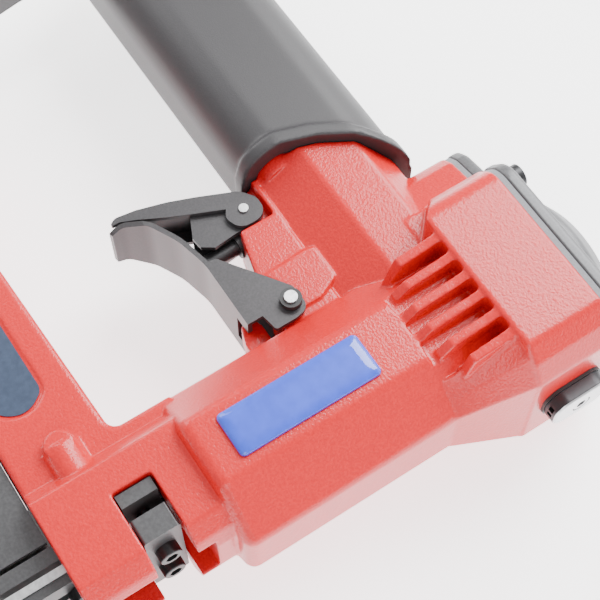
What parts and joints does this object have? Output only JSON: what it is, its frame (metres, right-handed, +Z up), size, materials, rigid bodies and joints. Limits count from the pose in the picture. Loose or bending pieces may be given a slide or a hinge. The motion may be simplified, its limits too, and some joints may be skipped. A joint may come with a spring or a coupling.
{
  "type": "flooring nailer",
  "caption": "Red cast pneumatic flooring nailer with a rubber handle sleeve, curved trigger and linked lever, ribbed barrel, capped cylinder head, and a bottom magazine with a flooring shoe.",
  "frame": {"origin": "middle of the footprint of the tool lying on its side, on the floor", "axes": "+Z up out of the visible side face, +Y from the nose to the cylinder cap, +X from the handle to the front exhaust"},
  "size_m": [0.2418, 0.2052, 0.062],
  "materials": {
    "red_paint": "gloss red enamel over as-cast aluminium",
    "grip_rubber": "matte charcoal moulded rubber",
    "grey_steel": "dark grey phosphated sheet steel",
    "dark_steel": "blackened steel",
    "bright_steel": "ground bright steel",
    "cap_metal": "dark bead-blasted cast aluminium",
    "cover_metal": "satin aluminium",
    "gasket": "light grey fibre gasket",
    "deflector_metal": "dark anodised aluminium with a bright machined face",
    "black_rubber": "black rubber",
    "screw_steel": "black oxide socket screws",
    "brass": "turned brass",
    "blue_dome": "clear-domed royal blue badge, blank",
    "label_film": "dark navy satin label film, blank",
    "shoe_plastic": "black moulded nylon"
  },
  "bodies": {
    "tool_body": {"body_casting": "red_paint", "cylinder_sleeve": "bright_steel", "trigger_pin": "bright_steel", "lever_pin": "bright_steel", "head_valve_spring": "bright_steel", "valve_spring": "bright_steel", "nose_plate": "bright_steel", "bumper": "black_rubber", "handle_seal": "black_rubber", "exhaust_gasket": "black_rubber", "trigger_collar_near": "black_rubber", "trigger_collar_far": "black_rubber", "exhaust_screw": "deflector_metal", "cylinder_cap": "cap_metal", "handle_end_cap": "cap_metal", "cap_gasket": "gasket", "cap_screw_1": "screw_steel", "cap_screw_2": "screw_steel", "cap_screw_3": "screw_steel", "cap_screw_4": "screw_steel", "end_cap_screw_1": "screw_steel", "end_cap_screw_2": "screw_steel", "stay_screw": "screw_steel", "nose_screw_1": "screw_steel", "nose_screw_2": "screw_steel", "shoe_clamp_screw": "screw_steel", "grip_sleeve": "grip_rubber", "air_inlet_fitting": "brass", "valve_bush": "dark_steel", "rear_stay": "dark_steel", "magazine_channel": "dark_steel", "driver_guide": "dark_steel", "nose_clamp": "dark_steel", "side_badge_near": "blue_dome", "side_badge_far": "blue_dome", "arm_label_near": "label_film", "arm_label_far": "label_film"},
    "driver": {"piston": "cover_metal", "piston_ring": "bright_steel", "driver_blade": "bright_steel"},
    "head_valve_body": {"head_valve": "cover_metal"},
    "exhaust_deflector": {"exhaust_cover": "deflector_metal"},
    "trigger_body": {"trigger": "grey_steel"},
    "guard": {"guard_lever": "grey_steel", "lever_shoe": "grey_steel"},
    "stem": {"valve_stem": "dark_steel"},
    "magazine_drawer": {"magazine_slide": "dark_steel", "magazine_end": "shoe_plastic", "latch_pin": "bright_steel"},
    "latch": {"magazine_latch": "dark_steel"},
    "pusher_body": {"pusher": "bright_steel", "pusher_spring": "bright_steel"},
    "shoe_carriage": {"shoe_bracket": "dark_steel", "flooring_shoe": "shoe_plastic", "shoe_screw_1": "screw_steel", "shoe_screw_2": "screw_steel"}
  },
  "joints": [
    {"name": "driver_stroke", "type": "slide", "parent": "tool_body", "child": "driver", "axis": [0, -1, 0], "range_m": [0, 0.0433]},
    {"name": "head_valve_lift", "type": "slide", "parent": "tool_body", "child": "head_valve_body", "axis": [0, 1, 0], "range_m": [0, 0.004], "stiffness_N_per_m": 600, "springref_m": -0.004, "deforming": ["head_valve_spring"]},
    {"name": "exhaust_turn", "type": "hinge", "parent": "tool_body", "child": "exhaust_deflector", "pos_m": [0.1167, 0.0757, 0.031], "axis": [1, 0, 0], "continuous": true},
    {"name": "trigger_pull", "type": "hinge", "parent": "tool_body", "child": "trigger_body", "pos_m": [0.0521, 0.0204, 0.031], "axis": [0, 0, -1], "range_deg": [0, 4.5], "stiffness_Nm_per_rad": 2, "springref_deg": -11.46},
    {"name": "guard_swing", "type": "hinge", "parent": "tool_body", "child": "guard", "pos_m": [0.0167, 0.0263, 0.031], "axis": [0, 0, -1], "range_deg": [0, 6.2]},
    {"name": "stem_travel", "type": "slide", "parent": "tool_body", "child": "stem", "axis": [0, 1, 0], "range_m": [0, 0.0025], "deforming": ["valve_spring"]},
    {"name": "magazine_open", "type": "slide", "parent": "tool_body", "child": "magazine_drawer", "axis": [-1, 0, 0], "range_m": [0, 0.12]},
    {"name": "latch_lift", "type": "hinge", "parent": "magazine_drawer", "child": "latch", "pos_m": [-0.1115, -0.0676, 0.031], "axis": [0, 0, 1], "range_deg": [0, 18]},
    {"name": "pusher_travel", "type": "slide", "parent": "magazine_drawer", "child": "pusher_body", "axis": [-1, 0, 0], "range_m": [0, 0.145], "deforming": ["pusher_spring"]},
    {"name": "shoe_height", "type": "slide", "parent": "tool_body", "child": "shoe_carriage", "axis": [0, 1, 0], "range_m": [-0.007, 0]}
  ],
  "couplings": [
    {"joint": "guard_swing", "follows": "trigger_pull", "ratio": 1.35},
    {"joint": "stem_travel", "follows": "trigger_pull", "m_per_rad": 0.03}
  ]
}
